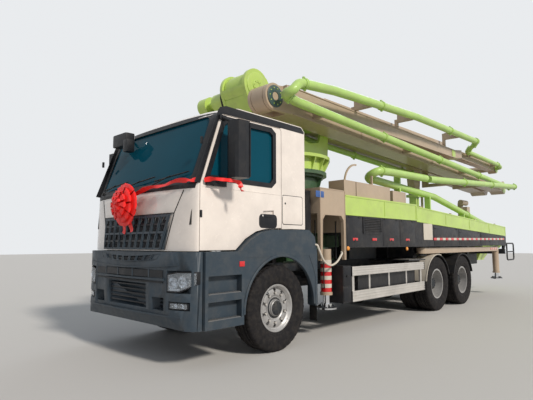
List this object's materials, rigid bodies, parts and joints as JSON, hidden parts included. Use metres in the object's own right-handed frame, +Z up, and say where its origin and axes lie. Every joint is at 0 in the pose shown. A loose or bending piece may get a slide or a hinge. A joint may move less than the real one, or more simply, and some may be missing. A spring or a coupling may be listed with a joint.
{
  "type": "concrete pump truck",
  "caption": "Truck-mounted concrete pump with a folding boom, swinging outriggers, a rear hopper and a tilted-screen driver's cab.",
  "frame": {"origin": "on the ground, in the middle of the bounding box", "axes": "+X towards the front of the truck, +Y to its left, +Z up"},
  "size_m": [12.56, 2.98, 4.039],
  "materials": {
    "dark_paint": "satin",
    "engine_grey": "matte",
    "cab_white": "gloss",
    "glass_pane": "clear",
    "interior_plastic": "matte",
    "slate_plastic": "satin",
    "lamp_clear": "gloss",
    "black_plastic": "satin",
    "tyre_black": "matte",
    "ring_green": "satin",
    "lime_paint": "gloss",
    "taupe_paint": "gloss",
    "bare_aluminium": "satin",
    "rod_chrome": "polished"
  },
  "bodies": {
    "truck": {"ladder_frame": "dark_paint", "tail_rails": "dark_paint", "engine_block": "engine_grey", "front_axle": "dark_paint", "rear_axles": "dark_paint", "cab_shell": "cab_white", "cab_glass": "glass_pane", "cab_interior": "interior_plastic", "bumper": "slate_plastic", "grille": "slate_plastic", "lamps": "lamp_clear", "cab_fenders": "slate_plastic", "pedestal": "ring_green", "upper_panels": "lime_paint", "lower_panels": "dark_paint", "deck_boxes": "taupe_paint", "guard_rails": "bare_aluminium", "chassis_boxes": "dark_paint", "hopper": "lime_paint", "pump_unit": "engine_grey", "deck_pipe": "lime_paint"},
    "door_left": {"door_left": "cab_white", "door_glass_left": "glass_pane", "mirror_left": "black_plastic"},
    "knuckle_left": {"knuckle_left": "dark_paint"},
    "wheel_front_left": {"wheel_front_left": "tyre_black"},
    "wheels_mid_left": {"wheels_mid_left": "tyre_black"},
    "wheels_rear_left": {"wheels_rear_left": "tyre_black"},
    "door_right": {"door_right": "cab_white", "door_glass_right": "glass_pane", "mirror_right": "black_plastic"},
    "knuckle_right": {"knuckle_right": "dark_paint"},
    "wheel_front_right": {"wheel_front_right": "tyre_black"},
    "wheels_mid_right": {"wheels_mid_right": "tyre_black"},
    "wheels_rear_right": {"wheels_rear_right": "tyre_black"},
    "turret": {"turret": "lime_paint"},
    "arm_1": {"arm_1": "lime_paint", "pipe_1": "lime_paint"},
    "arm_2": {"arm_2": "taupe_paint", "pipe_2": "lime_paint"},
    "arm_3": {"arm_3": "taupe_paint", "pipe_3": "lime_paint"},
    "arm_4": {"arm_4": "lime_paint", "pipe_4": "lime_paint"},
    "arm_5": {"arm_5": "lime_paint", "pipe_5": "lime_paint"},
    "lift_barrels": {"lift_barrels": "lime_paint"},
    "lift_rods": {"lift_rods": "rod_chrome"},
    "leg_front_left": {"leg_front_left": "taupe_paint"},
    "jack_front_left": {"jack_front_left": "rod_chrome"},
    "leg_front_right": {"leg_front_right": "taupe_paint"},
    "jack_front_right": {"jack_front_right": "rod_chrome"},
    "leg_rear_left": {"leg_rear_left": "taupe_paint"},
    "jack_rear_left": {"jack_rear_left": "rod_chrome"},
    "leg_rear_right": {"leg_rear_right": "taupe_paint"},
    "jack_rear_right": {"jack_rear_right": "rod_chrome"},
    "hopper_grate": {"hopper_grate": "dark_paint"}
  },
  "joints": [
    {"name": "slew", "type": "hinge", "parent": "truck", "child": "turret", "pos_m": [3.32, 0, 2.54], "axis": [0, 0, 1], "range_deg": [-180, 180]},
    {"name": "arm_1_lift", "type": "hinge", "parent": "turret", "child": "arm_1", "pos_m": [4.42, 0, 3.74], "axis": [0, 1, 0], "range_deg": [0, 90]},
    {"name": "arm_2_fold", "type": "hinge", "parent": "arm_1", "child": "arm_2", "pos_m": [-6.08, 0, 3.08], "axis": [0, -1, 0], "range_deg": [0, 180]},
    {"name": "arm_3_fold", "type": "hinge", "parent": "arm_2", "child": "arm_3", "pos_m": [4.52, 0, 3.44], "axis": [0, 1, 0], "range_deg": [0, 180]},
    {"name": "arm_4_fold", "type": "hinge", "parent": "arm_3", "child": "arm_4", "pos_m": [-5.98, 0, 3.7], "axis": [0, -1, 0], "range_deg": [0, 235]},
    {"name": "arm_5_fold", "type": "hinge", "parent": "arm_4", "child": "arm_5", "pos_m": [4.4, 0, 3.66], "axis": [0, 1, 0], "range_deg": [0, 180]},
    {"name": "lift_barrel_swing", "type": "hinge", "parent": "turret", "child": "lift_barrels", "pos_m": [2.7, 0, 3.3], "axis": [0, 1, 0], "range_deg": [0, 115]},
    {"name": "lift_rod_travel", "type": "slide", "parent": "lift_barrels", "child": "lift_rods", "axis": [-0.9998, 0, 0.0174], "range_m": [0, 2.24]},
    {"name": "door_left_swing", "type": "hinge", "parent": "truck", "child": "door_left", "pos_m": [6.06, 1.15, 2], "axis": [0, 0, -1], "range_deg": [0, 80]},
    {"name": "steer_left", "type": "hinge", "parent": "truck", "child": "knuckle_left", "pos_m": [4.82, 0.88, 0.54], "axis": [0, 0, 1], "range_deg": [-38, 38]},
    {"name": "wheel_front_left_spin", "type": "hinge", "parent": "knuckle_left", "child": "wheel_front_left", "pos_m": [4.82, 1.025, 0.54], "axis": [0, 1, 0], "continuous": true},
    {"name": "wheels_mid_left_spin", "type": "hinge", "parent": "truck", "child": "wheels_mid_left", "pos_m": [0.02, 0.905, 0.54], "axis": [0, 1, 0], "continuous": true},
    {"name": "wheels_rear_left_spin", "type": "hinge", "parent": "truck", "child": "wheels_rear_left", "pos_m": [-1.35, 0.905, 0.54], "axis": [0, 1, 0], "continuous": true},
    {"name": "leg_front_left_slide", "type": "slide", "parent": "truck", "child": "leg_front_left", "axis": [0.5, 0.866, 0], "range_m": [0, 1.4]},
    {"name": "jack_front_left_travel", "type": "slide", "parent": "leg_front_left", "child": "jack_front_left", "axis": [0, 0, -1], "range_m": [0, 0.5]},
    {"name": "leg_rear_left_swing", "type": "hinge", "parent": "truck", "child": "leg_rear_left", "pos_m": [0.47, 1.09, 1.2], "axis": [0, 0, -1], "range_deg": [0, 90]},
    {"name": "jack_rear_left_travel", "type": "slide", "parent": "leg_rear_left", "child": "jack_rear_left", "axis": [0, 0, -1], "range_m": [0, 0.5]},
    {"name": "door_right_swing", "type": "hinge", "parent": "truck", "child": "door_right", "pos_m": [6.06, -1.15, 2], "axis": [0, 0, 1], "range_deg": [0, 80]},
    {"name": "steer_right", "type": "hinge", "parent": "truck", "child": "knuckle_right", "pos_m": [4.82, -0.88, 0.54], "axis": [0, 0, 1], "range_deg": [-38, 38]},
    {"name": "wheel_front_right_spin", "type": "hinge", "parent": "knuckle_right", "child": "wheel_front_right", "pos_m": [4.82, -1.025, 0.54], "axis": [0, 1, 0], "continuous": true},
    {"name": "wheels_mid_right_spin", "type": "hinge", "parent": "truck", "child": "wheels_mid_right", "pos_m": [0.02, -0.905, 0.54], "axis": [0, 1, 0], "continuous": true},
    {"name": "wheels_rear_right_spin", "type": "hinge", "parent": "truck", "child": "wheels_rear_right", "pos_m": [-1.35, -0.905, 0.54], "axis": [0, 1, 0], "continuous": true},
    {"name": "leg_front_right_slide", "type": "slide", "parent": "truck", "child": "leg_front_right", "axis": [0.5, -0.866, 0], "range_m": [0, 1.4]},
    {"name": "jack_front_right_travel", "type": "slide", "parent": "leg_front_right", "child": "jack_front_right", "axis": [0, 0, -1], "range_m": [0, 0.5]},
    {"name": "leg_rear_right_swing", "type": "hinge", "parent": "truck", "child": "leg_rear_right", "pos_m": [0.47, -1.09, 1.2], "axis": [0, 0, 1], "range_deg": [0, 90]},
    {"name": "jack_rear_right_travel", "type": "slide", "parent": "leg_rear_right", "child": "jack_rear_right", "axis": [0, 0, -1], "range_m": [0, 0.5]},
    {"name": "hopper_grate_lift", "type": "hinge", "parent": "truck", "child": "hopper_grate", "pos_m": [-4.7, 0, 1.7], "axis": [0, 1, 0], "range_deg": [0, 90]}
  ],
  "couplings": [
    {"joint": "steer_right", "follows": "steer_left", "ratio": 1},
    {"joint": "lift_barrel_swing", "follows": "arm_1_lift", "ratio": 1.21},
    {"joint": "lift_rod_travel", "follows": "arm_1_lift", "m_per_rad": 1.39}
  ]
}
